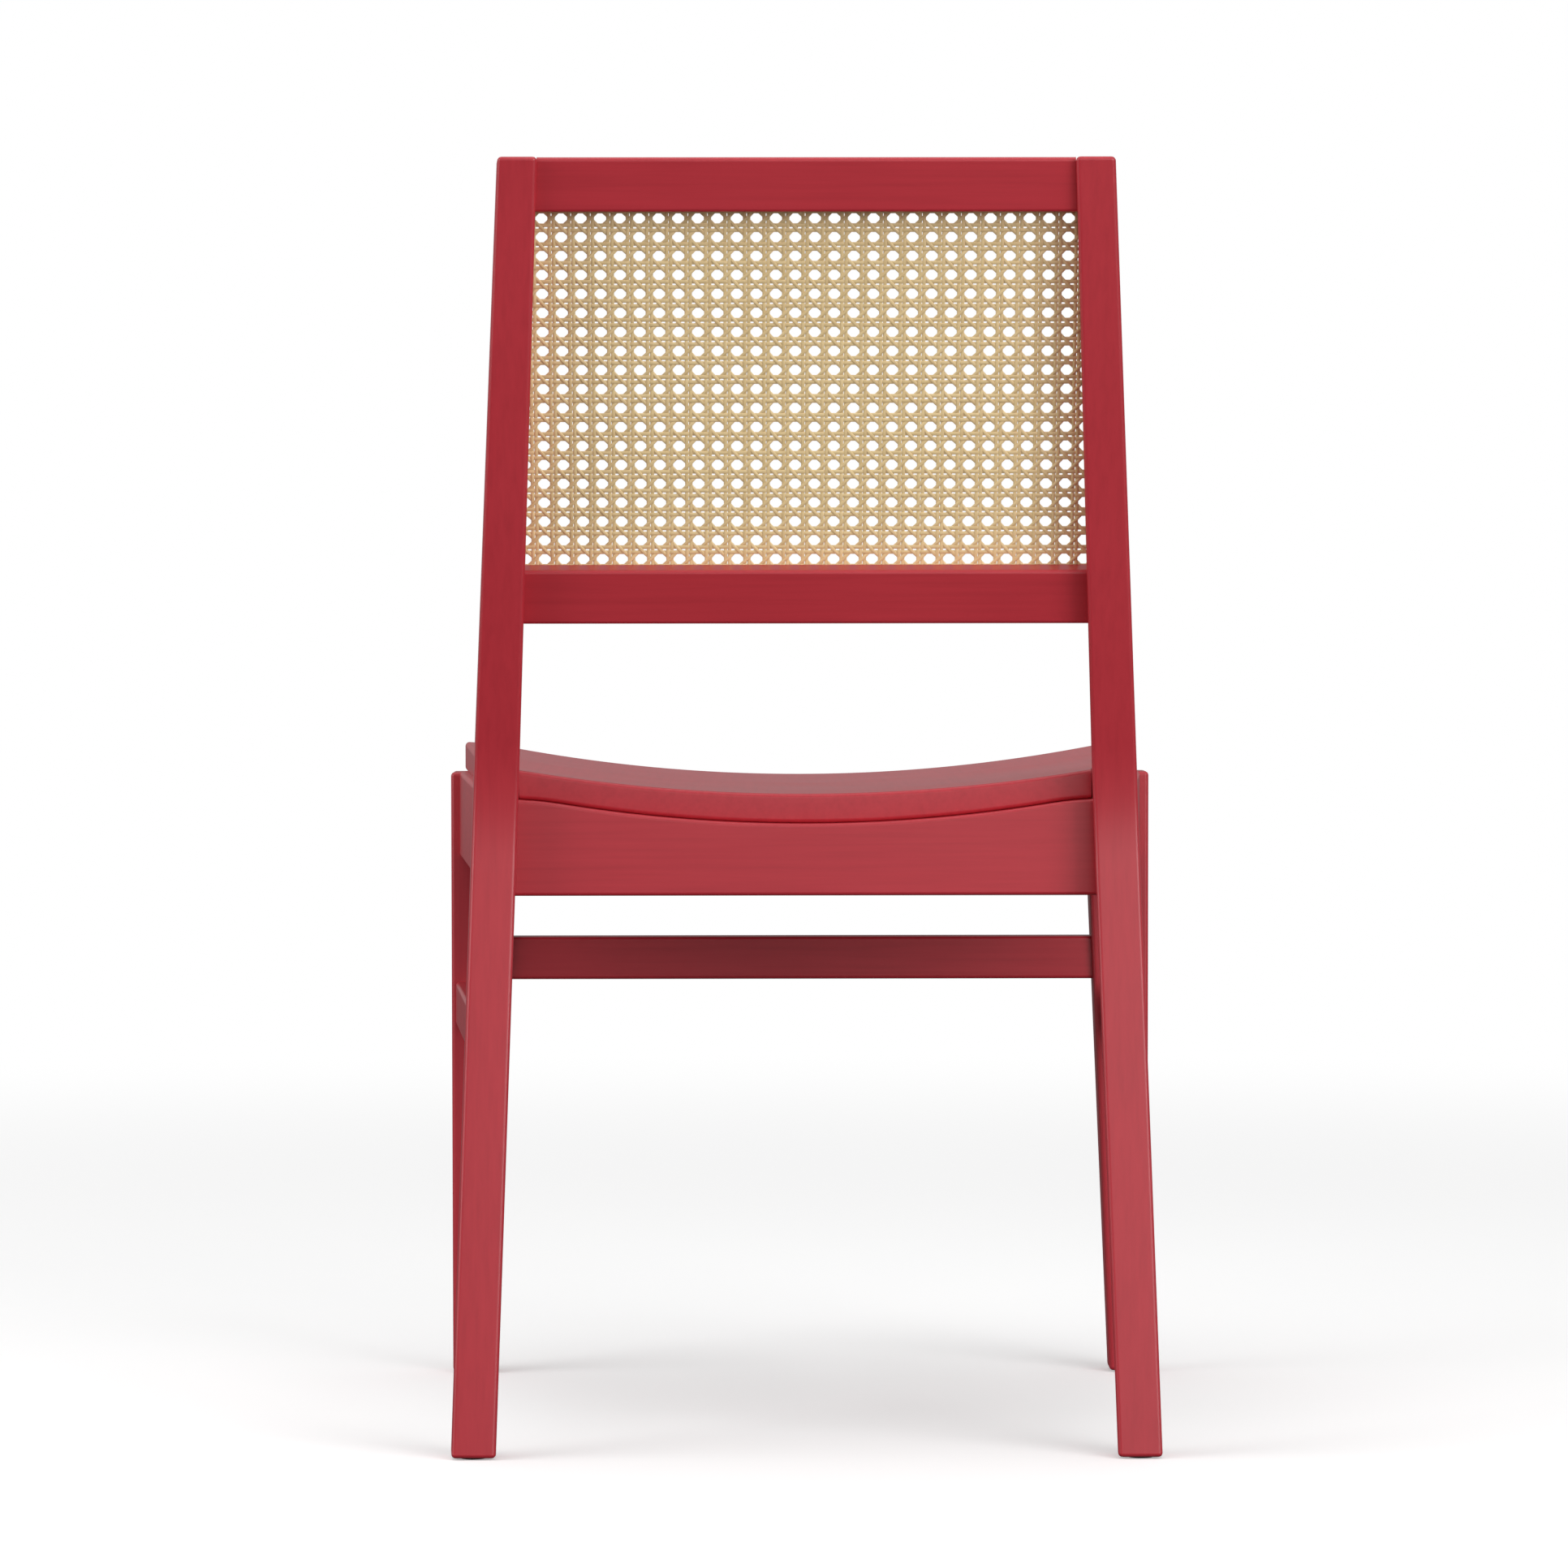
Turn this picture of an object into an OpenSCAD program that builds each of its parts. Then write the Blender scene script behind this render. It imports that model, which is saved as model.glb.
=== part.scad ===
// Side chair with a woven cane back and a dished wooden seat.
// Millimetres. +Z is up, the sitter faces -Y, and the sitter's left is +X.
// The origin is on the floor, at the centre of the chair's footprint box.

/* [Overall] */
// Height of the back posts above the floor
overall_height = 850; // [700:1:1030]
// Depth from the front edge of the seat to the top of the back
overall_depth = 530; // [430:1:650]
// Width across the outer faces of the front legs
front_width = 506; // [440:1:620]
// Width across the outer faces of the rear feet
rear_width = 467; // [410:1:580]

/* [Rear legs] */
// Height at which the rear legs bend
knee_height = 430; // [400:1:450]
// Length over which the bend is blended, each way from the knee
knee_blend = 40; // [10:1:60]
// Lean of the caned back from upright, in degrees
back_rake = 13.5; // [5:0.5:18]
// Backward kick of the rear legs below the knee, in degrees
leg_kick = 6; // [0:0.5:9]
// Lean of each rear leg towards the centre, in degrees
leg_lean = 2.15; // [0:0.05:3]
// Turn of each rear leg in plan, in degrees
leg_toe = 3.2; // [0:0.1:6]
// Front to back depth of a rear leg at the floor
rear_foot_depth = 28; // [22:0.5:40]
// Front to back depth of a rear leg at the knee
rear_knee_depth = 42; // [38:0.5:52]
// Front to back depth of a rear leg at its top
rear_top_depth = 27.5; // [25:0.5:40]
// Thickness of a rear leg at the floor
rear_foot_thick = 29.3; // [23:0.1:36]
// Thickness of a rear leg at its waist
rear_waist_thick = 29.9; // [26:0.1:38]
// Thickness of a rear leg at its top
rear_top_thick = 25.6; // [23:0.1:34]

/* [Front legs] */
// Height of the front legs and of the side aprons
frame_top = 438.5; // [425:0.5:445]
// Distance from the seat's front edge to the front legs
seat_overhang = 32; // [10:1:45]
// Width of a front leg at its top
front_top_width = 46.4; // [38:0.1:56]
// Width of a front leg at the floor
front_foot_width = 27.6; // [24:0.1:40]
// Depth of a front leg at its top
front_top_depth = 34; // [30:0.5:42]
// Depth of a front leg at the floor
front_foot_depth = 27; // [24:0.5:36]

/* [Back frame] */
// Height of each back rail
back_rail_height = 36.3; // [32:0.1:44]
// Thickness of each back rail
back_rail_thick = 20; // [18:0.5:23]
// Distance of the rails from the front faces of the posts
back_rail_inset = 1; // [0:0.1:2]
// Height of the caned opening, measured along the back
cane_opening = 238; // [150:1:260]
// Thickness of the woven cane
cane_thick = 1.6; // [1.2:0.1:2]
// Depth of the rebate that the cane lies in
cane_rebate = 2.7; // [2:0.1:3.5]
// Width of the rebate round the opening
cane_margin = 9; // [8:0.1:10]
// Width of the spline that holds the edge of the cane
spline_width = 3.4; // [3:0.1:4]
// Depth of the spline's groove below the rebate
spline_depth = 5; // [4:0.1:6]

/* [Seat frame] */
// Height of the side aprons
side_apron_height = 61; // [56:1:70]
// Thickness of every apron
apron_thick = 20; // [18:0.5:24]
// Distance of a side apron from the front leg's outer face
side_apron_inset = 6.3; // [3:0.1:9]
// Distance of a side apron from the rear leg's outer face
side_apron_rear_inset = 2.3; // [1:0.1:5]
// Height of the lower edge of the front and rear aprons
cross_apron_base = 367.5; // [355:0.5:375]
// Distance of the rear apron from the back of the rear legs
rear_apron_recess = 20.7; // [18:0.1:23]
// Distance of the front apron from the front of the front legs
front_apron_recess = 5; // [3:0.5:9]

/* [Stretchers] */
// Thickness of every stretcher
stretcher_thick = 20; // [16:0.5:22]
// Height of every stretcher
stretcher_height = 31; // [28:0.5:36]
// Height of the lower edge of the side stretchers
side_stretcher_base = 255; // [120:1:260]
// Height of the front stretcher's lower edge above the side stretchers
stretcher_step = 1.5; // [0:0.5:20]
// Distance of a side stretcher from the front leg's outer face
side_stretcher_inset = 3; // [2:0.5:5]

/* [Seat] */
// Height of the seat's top surface at its centre
seat_height = 435; // [430:1:445]
// Thickness of the seat at its centre
seat_thick = 19.6; // [18:0.1:22]
// Radius of the dished top, across the seat
dish_radius = 1130; // [950:10:1500]
// Radius of the middle of the underside, across the seat
under_radius = 1000; // [950:10:1100]
// Distance of the seat's side edge from the side apron's outer face
seat_side_inset = 6.5; // [3:0.5:8]
// Distance of the seat's rear edge from the back of the rear apron
seat_rear_inset = 9; // [1:0.5:12]

/* [Edges and fasteners] */
// Rounding of the edges of the legs
leg_round = 2.8; // [1:0.1:4]
// Rounding of the edges of the rails, aprons and stretchers
rail_round = 2.5; // [1:0.1:4]
// Rounding of the edges of the seat
seat_round = 3; // [1:0.1:5]
// Diameter of the dowels
dowel_d = 8; // [6:0.5:8]
// Clearance on the diameter of a dowel
dowel_fit = 0.2; // [0.1:0.05:0.4]
// Length of each half of a dowel
dowel_half = 18; // [14:1:20]
// Diameter of the screws
screw_d = 4; // [3:0.5:4.5]
// Height of a glide under a foot
glide_height = 1.2; // [0.8:0.1:3]
// Diameter of a glide
glide_d = 17; // [14:0.5:20]

/* [Hidden] */

lacquer = [0.64, 0.14, 0.18];
cane_gold = [0.82, 0.7, 0.48];
reed = [0.78, 0.62, 0.38];
beech = [0.85, 0.72, 0.55];
zinc = [0.75, 0.75, 0.72];
nylon = [0.2, 0.2, 0.2];

corner_steps = 5;      // facets in a quarter round of a lofted piece
end_steps = 4;         // rings in the rounded end of a leg
knee_steps = 8;        // rings in the bend of a rear leg
seat_steps = 48;       // strips across the dish of the seat
reach = 2400;          // more than twice as long as any piece
cut = 1;               // how far a cutting shape passes a face
end_taper = 0.9;       // how fast the edge rounding shrinks in a rounded end
round_fn = 48;
bore_fn = 32;

// Side outline of the rear legs
top_back = overall_depth / 2;
top_front = top_back - rear_top_depth;
knee_front = top_front - (overall_height - knee_height) * tan(back_rake);
knee_back = knee_front + rear_knee_depth;
foot_back = knee_back + knee_height * tan(leg_kick);
foot_front = foot_back - rear_foot_depth;
waist_height = knee_height + knee_blend / 4;

// Front legs
leg_base = glide_height;
front_leg_front = -overall_depth / 2 + seat_overhang;
front_leg_outer = front_width / 2;

// Back rails, as heights along the slope of the back above the knee
crest_top = (overall_height - knee_height) / cos(back_rake);
crest_base = crest_top + (back_rail_inset + back_rail_thick) * tan(back_rake) - back_rail_height;
low_rail_top = crest_base - cane_opening;
low_rail_base = low_rail_top - back_rail_height;
rail_back = back_rail_inset + back_rail_thick;
rebate_floor = back_rail_inset + cane_rebate;

// Seat frame
recess_level = 400;    // height at which the rear apron's recess is measured
side_apron_base = frame_top - side_apron_height;
rear_apron_back = rear_leg_back(recess_level) - rear_apron_recess;
rear_apron_front = rear_apron_back - apron_thick;
front_apron_front = front_leg_front + front_apron_recess;
front_apron_back = front_apron_front + apron_thick;
apron_line_front = [front_leg_outer - side_apron_inset, front_leg_back(frame_top)];
apron_line_rear = [rear_outer(frame_top, rear_leg_front(frame_top)) - side_apron_rear_inset,
    rear_leg_front(frame_top)];
side_turn = atan((apron_line_front[0] - apron_line_rear[0]) / (apron_line_rear[1] - apron_line_front[1]));
stretcher_line_front = [front_leg_outer - side_stretcher_inset, front_leg_back(side_stretcher_base)];
front_stretcher_base = side_stretcher_base + stretcher_height + stretcher_step;

// Seat
seat_front = -overall_depth / 2;
seat_back = rear_apron_back - seat_rear_inset;
seat_under = seat_height - seat_thick;
shoulder_end = rear_inner_low(frame_top, rear_apron_back) - 3;
shoulder_start = shoulder_end - 25;
shoulder_slope = 0.05;
rim_slope = 0.118;
post_clear = 0.6;      // gap between the seat and the posts
bed_gap = 0.05;        // gap between the seat and the cross aprons
rim_width = 26;        // flat rim along each side of the dish
seat_strips = [for (i = [0 : seat_steps]) shoulder_end * (2 * i / seat_steps - 1)];

// Dowels
rail_dowel_pitch = 13; // between the two dowels in one end of a back rail
rail_dowel_out = 2;    // dowels behind the middle of a back rail
crest_dowel_rise = 1.5;   // dowels above the middle of the crest rail
apron_dowel_step = 12.5;  // step in height, so that crossing dowels pass each other
stretcher_dowel_edge = 8; // dowels from the edges of a stretcher

// Corner blocks and fasteners
block_base = 402;
block_height = 24;
block_leg = 42;        // length of a block along an apron
block_clear = 1;       // gap between a block and a leg
screw_offset = 24;     // distance of an apron screw from the leg
seat_screw_x = 3;      // distance of a seat screw from the leg, across
seat_screw_y = 8;      // and along the seat
screw_head_d = 8;
screw_head_h = 3;
screw_fit = 0.2;
screw_bite = 14;       // how far a screw enters an apron
seat_bite = 11;        // how far a screw enters the seat
spline_fit = 0.1;
glide_pin_d = 3;
glide_pin_h = 12;

// Distance along Y from the knee of a face that bends from slope m1 to m2
function bend(z, m1, m2) =
    let (h = z - knee_height)
    abs(h) < knee_blend ? m1 * h + (m2 - m1) * pow(h + knee_blend, 2) / (4 * knee_blend)
    : (h < 0 ? m1 * h : m2 * h);

function rear_leg_front(z) =
    knee_front + bend(z, (knee_front - foot_front) / knee_height, tan(back_rake));
function rear_leg_back(z) =
    knee_back + bend(z, (knee_back - foot_back) / knee_height,
        (top_back - knee_back) / (overall_height - knee_height));

// Outer and inner faces of the left rear leg
function rear_outer(z, y) = rear_width / 2 - z * tan(leg_lean) - (y - foot_back) * tan(leg_toe);
function rear_thick(z) =
    z < waist_height ? rear_foot_thick + (rear_waist_thick - rear_foot_thick) * z / waist_height
    : rear_waist_thick + (rear_top_thick - rear_waist_thick) * (z - waist_height)
        / (overall_height - waist_height);
function rear_inner(z, y) = rear_outer(z, y) - rear_thick(z);
// The lower inner face, carried on past the waist
function rear_inner_low(z, y) =
    rear_outer(z, y) - rear_foot_thick - (rear_waist_thick - rear_foot_thick) * z / waist_height;

// Faces of the left front leg
function front_inner(z) =
    front_leg_outer - front_foot_width - (front_top_width - front_foot_width) * z / frame_top;
function front_leg_back(z) =
    front_leg_front + front_foot_depth + (front_top_depth - front_foot_depth) * z / frame_top;

// A point of the back frame in the Y-Z plane: out behind its front plane, up along its slope
function back_point(out, up) =
    [knee_front + out * cos(back_rake) + up * sin(back_rake),
     knee_height - out * sin(back_rake) + up * cos(back_rake)];
function opening_half(up) = let (p = back_point(0, up)) rear_inner(p[1], p[0]);
function opening(margin) =
    let (low = low_rail_top - margin, high = crest_base + margin)
    [[-opening_half(low) - margin, low], [opening_half(low) + margin, low],
     [opening_half(high) + margin, high], [-opening_half(high) - margin, high]];

// Underside of the seat across its width: an arc, a shoulder and a straight rim
function seat_low(x) =
    let (a = abs(x), s = shoulder_start / under_radius,
         b = min(a, shoulder_start), c = max(0, min(a, shoulder_end) - shoulder_start))
    seat_under + b * b / (2 * under_radius) + s * c
        - (s - shoulder_slope) * c * c / (2 * (shoulder_end - shoulder_start))
        + rim_slope * max(0, a - shoulder_end);
// Where the top of a cross apron is cut into strips, out to x = end on both sides
function stations(end) = concat([-end], [for (x = seat_strips) if (abs(x) < end - cut) x], [end]);
// Top of the seat: a dish that levels out over a rim beside an edge at x = half
function seat_top(x, half) =
    let (rim = half - rim_width, a = min(abs(x), rim), d = max(0, abs(x) - rim))
    seat_height + a * a / (2 * dish_radius) + rim / dish_radius * (d - d * d / (2 * rim_width));
// Half width of the seat at y
function seat_half(y) =
    apron_line_front[0] - seat_side_inset - (y - apron_line_front[1]) * tan(side_turn);

// Points of a quarter round from the angle a0
function quarter(x, y, r, a0) =
    [for (i = [0 : corner_steps]) let (a = a0 + 90 * i / corner_steps) [x + r * cos(a), y + r * sin(a)]];
function box_ring(x0, x1, y0, y1, r) =
    concat(quarter(x1 - r, y0 + r, r, -90), quarter(x1 - r, y1 - r, r, 0),
        quarter(x0 + r, y1 - r, r, 90), quarter(x0 + r, y0 + r, r, 180));

// Height and inset of each ring in a rounded end
function end_rings(r) =
    [for (i = [0 : end_steps]) let (a = 90 * i / end_steps) [r * (1 - cos(a)), r * (1 - sin(a))]];

function rear_leg_ring(z, inset) =
    let (r = leg_round - end_taper * inset,
         y0 = rear_leg_front(z) + inset + r, y1 = rear_leg_back(z) - inset - r)
    [for (p = concat(quarter(rear_outer(z, y0) - inset - r, y0, r, -90),
            quarter(rear_outer(z, y1) - inset - r, y1, r, 0),
            quarter(rear_inner(z, y1) + inset + r, y1, r, 90),
            quarter(rear_inner(z, y0) + inset + r, y0, r, 180)))
        [p[0], p[1], z]];
function front_leg_ring(z, inset) =
    [for (p = box_ring(front_inner(z) + inset, front_leg_outer - inset,
            front_leg_front + inset, front_leg_back(z) - inset, leg_round - end_taper * inset))
        [p[0], p[1], z]];
knee_levels = [for (i = [0 : knee_steps]) knee_height + knee_blend * (2 * i / knee_steps - 1)];

// Unit vector, and the point inside a corner that is r from both its edges
function unit(v) = v / norm(v);
function inside_corner(p, c, q, r) =
    let (u = unit(p - c), v = unit(q - c)) c + (u + v) * r / abs(u[0] * v[1] - u[1] * v[0]);
function out_of(a, b) = let (d = unit(b - a)) [d[1], -d[0]];

// Faces of one end of a loft: one polygon, or strips between its lower and upper edges
function end_faces(n, strips) =
    strips == 0 ? [[for (i = [0 : n - 1]) i]]
    : let (top = n - 1 - 2 * corner_steps)
      concat([for (i = [0 : strips - 1]) [i, i + 1, top - i - 1, top - i]],
          [[for (i = [strips : top - strips]) i], concat([for (i = [top : n - 1]) i], [0])]);

// Solid through a stack of rings
module loft(rings, strips = 0) {
    n = len(rings[0]);
    last = (len(rings) - 1) * n;
    first = end_faces(n, strips);
    sides = [for (j = [0 : len(rings) - 2], i = [0 : n - 1])
        let (a = j * n + i, b = j * n + (i + 1) % n)
        each [[a, a + n, b + n], [a, b + n, b]]];
    far = [for (f = first) [for (i = [len(f) - 1 : -1 : 0]) last + f[i]]];
    polyhedron([for (ring = rings) each ring], concat(sides, first, far), convexity = 8);
}

// Convex outline with true round corners
module round_outline(corners, r) {
    n = len(corners);
    c = [for (i = [0 : n - 1])
        inside_corner(corners[(i + n - 1) % n], corners[i], corners[(i + 1) % n], r)];
    polygon([for (i = [0 : n - 1])
        let (k = out_of(c[i], c[(i + 1) % n]) * r) each [c[i] + k, c[(i + 1) % n] + k]]);
    for (p = c) translate(p) circle(r, $fn = round_fn);
}

// Y-Z outline carried along X
module along_x(half) {
    translate([-half, 0, 0]) rotate([90, 0, 90]) linear_extrude(2 * half) children();
}

// Plate in the back frame, between two distances behind its front plane
module back_plate(points, out0, out1) {
    translate([0, knee_front, knee_height]) rotate([-back_rake, 0, 0])
        translate([0, out1, 0]) rotate([90, 0, 0]) linear_extrude(out1 - out0) polygon(points);
}

// The right copy, and both copies, of a piece on the left
module right_side() {
    mirror([1, 0, 0]) children();
}
module both_sides() {
    children();
    right_side() children();
}

// Everything outboard of the upper inner face of the left rear leg
module outside_post() {
    slope = -(rear_inner(overall_height, 0) - rear_inner(waist_height, 0))
        / (overall_height - waist_height);
    translate([rear_inner(knee_height + knee_blend, knee_back), knee_back, knee_height + knee_blend])
        rotate([0, -atan(slope * cos(leg_toe)), leg_toe])
            translate([0, -reach / 2, -reach / 2]) cube(reach);
}

// A dowel with half its length each way from a joint, along X; grow makes its hole
module dowel_x(x, y, z, grow) {
    length = 2 * dowel_half + 2 * grow;
    translate([x - length / 2, y, z]) rotate([0, 90, 0]) cylinder(length, d = dowel_d + grow, $fn = bore_fn);
}

// Two dowels in the left end of a back rail, about the height middle
module rail_dowels_left(middle, grow) {
    for (side = [-1, 1]) {
        p = back_point(rail_back - back_rail_thick / 2 + rail_dowel_out,
            middle + side * rail_dowel_pitch / 2);
        dowel_x(rear_inner(p[1], p[0]), p[0], p[1], grow);
    }
}

module crest_dowels_left(grow = 0) {
    rail_dowels_left((crest_base + crest_top) / 2 + crest_dowel_rise, grow);
}

module low_rail_dowels_left(grow = 0) {
    rail_dowels_left(low_rail_base + (back_rail_height - cane_margin) / 2, grow);
}

function apron_dowel_heights(steps) = [for (k = steps) cross_apron_base + k * apron_dowel_step];
function stretcher_dowel_heights(base) =
    [base + stretcher_dowel_edge, base + stretcher_height - stretcher_dowel_edge];

module rear_apron_dowels_left(grow = 0) {
    y = (rear_apron_front + rear_apron_back) / 2;
    for (z = apron_dowel_heights([1, 3]))
        dowel_x(rear_inner_low(z, y), y, z, grow);
}

module front_apron_dowels_left(grow = 0) {
    y = (front_apron_front + front_apron_back) / 2;
    for (z = apron_dowel_heights([1, 4]))
        dowel_x(front_inner(z), y, z, grow);
}

module front_stretcher_dowels_left(grow = 0) {
    y = front_stretcher_middle();
    for (z = stretcher_dowel_heights(front_stretcher_base))
        dowel_x(front_inner(z), y, z, grow);
}

function front_stretcher_middle() =
    (front_leg_front + front_leg_back(front_stretcher_base + stretcher_height / 2)) / 2;

// Dowels at both ends of a side piece whose outer face starts at the point line
module side_dowels_left(line, thick, heights, grow) {
    length = 2 * dowel_half + 2 * grow;
    for (z = heights, end = [front_leg_back(z), rear_leg_front(z)]) {
        along = (end - line[1] + thick / 2 * sin(side_turn)) / cos(side_turn);
        translate([line[0], line[1], z]) rotate([0, 0, side_turn])
            translate([-thick / 2, along - length / 2, 0])
                rotate([-90, 0, 0]) cylinder(length, d = dowel_d + grow, $fn = bore_fn);
    }
}

module side_apron_dowels_left(grow = 0) {
    side_dowels_left(apron_line_front, apron_thick, apron_dowel_heights([2, 4]), grow);
}

module side_stretcher_dowels_left(grow = 0) {
    side_dowels_left(stretcher_line_front, stretcher_thick,
        stretcher_dowel_heights(side_stretcher_base), grow);
}

// A side piece: a rounded bar between the front leg and the rear leg
module side_bar_left(line, thick, base, height) {
    levels = concat([0], knee_levels, [overall_height]);
    intersection() {
        translate([line[0], line[1], 0]) rotate([0, 0, side_turn]) translate([0, reach / 2, 0])
            rotate([90, 0, 0]) linear_extrude(reach)
                round_outline([[-thick, base], [0, base], [0, base + height], [-thick, base + height]],
                    rail_round);
        along_x(reach / 2) polygon(concat(
            [[front_leg_back(0), 0]],
            [for (z = levels) [rear_leg_front(z), z]],
            [[front_leg_back(overall_height), overall_height]]));
    }
}

// Foot centres and the glides under them
front_foot = [front_leg_outer - front_foot_width / 2, front_leg_front + front_foot_depth / 2];
rear_foot_y = (foot_front + foot_back) / 2;
rear_foot = [(rear_outer(0, rear_foot_y) + rear_inner(0, rear_foot_y)) / 2, rear_foot_y];

module glide(foot) {
    color(nylon) {
        translate(foot) cylinder(glide_height, d = glide_d, $fn = round_fn);
        translate(foot) cylinder(glide_height + glide_pin_h, d = glide_pin_d, $fn = bore_fn);
    }
}

module glide_hole(foot) {
    translate([foot[0], foot[1], 0])
        cylinder(glide_height + glide_pin_h + screw_fit, d = glide_pin_d + screw_fit, $fn = bore_fn);
}

module rear_leg_left() {
    ends = end_rings(leg_round);
    n = len(ends) - 1;
    color(lacquer) difference() {
        loft(concat(
            [for (e = ends) rear_leg_ring(leg_base + e[0], e[1])],
            [for (z = knee_levels) rear_leg_ring(z, 0)],
            [for (i = [0 : n]) rear_leg_ring(overall_height - ends[n - i][0], ends[n - i][1])]));
        crest_dowels_left(dowel_fit);
        low_rail_dowels_left(dowel_fit);
        rear_apron_dowels_left(dowel_fit);
        side_apron_dowels_left(dowel_fit);
        side_stretcher_dowels_left(dowel_fit);
        glide_hole(rear_foot);
        cane_recess();
    }
}

module rear_leg_right() {
    right_side() rear_leg_left();
}

module front_leg_left() {
    ends = end_rings(leg_round);
    n = len(ends) - 1;
    color(lacquer) difference() {
        loft(concat(
            [for (e = ends) front_leg_ring(leg_base + e[0], e[1])],
            [for (i = [0 : n]) front_leg_ring(frame_top - ends[n - i][0], ends[n - i][1])]));
        front_apron_dowels_left(dowel_fit);
        front_stretcher_dowels_left(dowel_fit);
        side_apron_dowels_left(dowel_fit);
        side_stretcher_dowels_left(dowel_fit);
        glide_hole(front_foot);
    }
}

module front_leg_right() {
    right_side() front_leg_left();
}

// Rebate and spline groove round the caned opening
module cane_recess() {
    back_plate(opening(cane_margin), -cut, rebate_floor);
    difference() {
        back_plate(opening(cane_margin), -cut, rebate_floor + spline_depth);
        back_plate(opening(cane_margin - spline_width), -2 * cut, rebate_floor + spline_depth + cut);
    }
}

module crest_rail() {
    top_up = [for (out = [back_rail_inset, rail_back])
        (overall_height - back_point(out, 0)[1]) / cos(back_rake)];
    color(lacquer) difference() {
        along_x(rear_width / 2)
            round_outline([back_point(back_rail_inset, crest_base), back_point(rail_back, crest_base),
                back_point(rail_back, top_up[1]), back_point(back_rail_inset, top_up[0])], rail_round);
        both_sides() outside_post();
        both_sides() crest_dowels_left(dowel_fit);
        cane_recess();
    }
}

module lower_back_rail() {
    color(lacquer) difference() {
        along_x(rear_width / 2)
            round_outline([back_point(back_rail_inset, low_rail_base), back_point(rail_back, low_rail_base),
                back_point(rail_back, low_rail_top), back_point(back_rail_inset, low_rail_top)], rail_round);
        both_sides() outside_post();
        both_sides() low_rail_dowels_left(dowel_fit);
        cane_recess();
    }
}

module rear_apron() {
    end = rear_inner_low(seat_low(rear_inner_low(frame_top, rear_apron_back)), rear_apron_back);
    color(lacquer) difference() {
        loft([for (x = stations(end))
            let (top = seat_low(x), share = x / rear_inner_low(top, rear_apron_back))
            [for (p = box_ring(rear_apron_front, rear_apron_back, cross_apron_base, top - bed_gap,
                    rail_round))
                [share * rear_inner_low(p[1], p[0]), p[0], p[1]]]]);
        both_sides() rear_apron_dowels_left(dowel_fit);
        both_sides() cross_screw_left(rear_corner, screw_fit);
    }
}

module front_apron() {
    end = front_inner(seat_low(front_inner(frame_top)));
    color(lacquer) difference() {
        loft([for (x = stations(end))
            let (top = seat_low(x), share = x / front_inner(top))
            [for (p = box_ring(front_apron_front, front_apron_back, cross_apron_base, top - bed_gap,
                    rail_round))
                [share * front_inner(p[1]), p[0], p[1]]]]);
        both_sides() front_apron_dowels_left(dowel_fit);
        both_sides() cross_screw_left(front_corner, screw_fit);
    }
}

module side_apron_left() {
    color(lacquer) difference() {
        side_bar_left(apron_line_front, apron_thick, side_apron_base, side_apron_height);
        side_apron_dowels_left(dowel_fit);
        side_screw_left(front_corner, screw_fit);
        side_screw_left(rear_corner, screw_fit);
    }
}

module side_apron_right() {
    right_side() side_apron_left();
}

module side_stretcher_left() {
    color(lacquer) difference() {
        side_bar_left(stretcher_line_front, stretcher_thick, side_stretcher_base, stretcher_height);
        side_stretcher_dowels_left(dowel_fit);
    }
}

module side_stretcher_right() {
    right_side() side_stretcher_left();
}

module front_stretcher() {
    y = front_stretcher_middle();
    low = front_stretcher_base;
    high = low + stretcher_height;
    color(lacquer) difference() {
        intersection() {
            along_x(front_leg_outer)
                round_outline([[y - stretcher_thick / 2, low], [y + stretcher_thick / 2, low],
                    [y + stretcher_thick / 2, high], [y - stretcher_thick / 2, high]], rail_round);
            translate([0, reach / 2, 0]) rotate([90, 0, 0]) linear_extrude(reach)
                polygon([[-front_inner(0), 0], [front_inner(0), 0],
                    [front_inner(frame_top), frame_top], [-front_inner(frame_top), frame_top]]);
        }
        both_sides() front_stretcher_dowels_left(dowel_fit);
    }
}

// Closed outline of the seat in the X-Z plane at y, with its edges drawn in by inset
function seat_ring(y, inset) =
    let (half = seat_half(y), r = seat_round - end_taper * inset, flat = half - inset - r,
         low = [for (x = concat([-flat], seat_strips, [flat])) [x, seat_low(x) + inset]],
         last = len(low) - 1,
         high = [for (i = [0 : last]) let (x = flat * (1 - 2 * i / last))
            [x, seat_top(x, half) - inset]],
         z0 = low[0][1] + r, z1 = high[0][1] - r)
    [for (p = concat(low, quarter_inner(flat, z0, r, -90), quarter_open(flat, z1, r, 0), high,
            quarter_inner(-flat, z1, r, 90), quarter_open(-flat, z0, r, 180)))
        [p[0], y, p[1]]];
// Quarter rounds without their first point, and without their last
function quarter_inner(x, y, r, a0) =
    [for (i = [1 : corner_steps]) let (a = a0 + 90 * i / corner_steps) [x + r * cos(a), y + r * sin(a)]];
function quarter_open(x, y, r, a0) =
    [for (i = [0 : corner_steps - 1]) let (a = a0 + 90 * i / corner_steps) [x + r * cos(a), y + r * sin(a)]];

// Floor plan, on the left, of what carries the side of the seat
module side_bearing() {
    inner = apron_line_front[0] - apron_thick / cos(side_turn);
    far = seat_back + cut;
    run = far - front_leg_back(frame_top);
    translate([0, 0, seat_under - cut]) linear_extrude(frame_top - seat_under + cut) {
        polygon([[inner, front_leg_back(frame_top)], [front_width, front_leg_back(frame_top)],
            [front_width, far], [inner - run * tan(side_turn), far]]);
        translate([front_inner(frame_top) - block_clear, front_leg_front - block_clear])
            square([front_width, front_top_depth + 2 * block_clear]);
    }
}

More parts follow.
